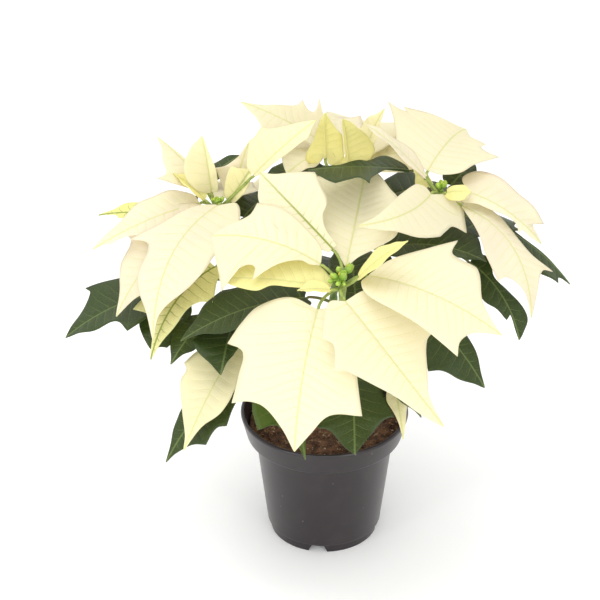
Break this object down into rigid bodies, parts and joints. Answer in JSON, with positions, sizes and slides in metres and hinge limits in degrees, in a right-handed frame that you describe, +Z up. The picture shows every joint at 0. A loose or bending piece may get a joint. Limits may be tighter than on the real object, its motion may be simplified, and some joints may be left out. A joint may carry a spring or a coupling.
{
  "type": "potted poinsettia",
  "caption": "Bushy potted plant with wide toothed cream bracts in rosettes over dark green leaves, on forked stems in a round dark nursery pot.",
  "frame": {"origin": "centre of the flat pad under the pot, on the surface the pot stands on", "axes": "+Z up, -Y towards the viewer of the picture, +X to the viewer's right"},
  "size_m": [0.3849, 0.3598, 0.3402],
  "materials": {
    "pot": "satin",
    "soil": "matte",
    "wood": "matte",
    "leaf": "satin",
    "bract": "satin",
    "variegated": "satin",
    "cyathium": "satin"
  },
  "bodies": {
    "root": {"pot": "pot", "soil": "soil", "main_stem": "wood", "shoot_front": "leaf", "bloom_front_bracts": "bract", "bloom_front_cyathia": "cyathium", "shoot_left": "leaf", "bloom_left_bracts": "bract", "bloom_left_cyathia": "cyathium", "shoot_right": "leaf", "bloom_right_bracts": "bract", "bloom_right_cyathia": "cyathium", "shoot_back": "leaf", "bloom_back_bracts": "bract", "bloom_back_cyathia": "cyathium", "low_bract_left": "bract", "low_bract_right": "bract", "variegated_bract": "variegated"}
  },
  "joints": []
}
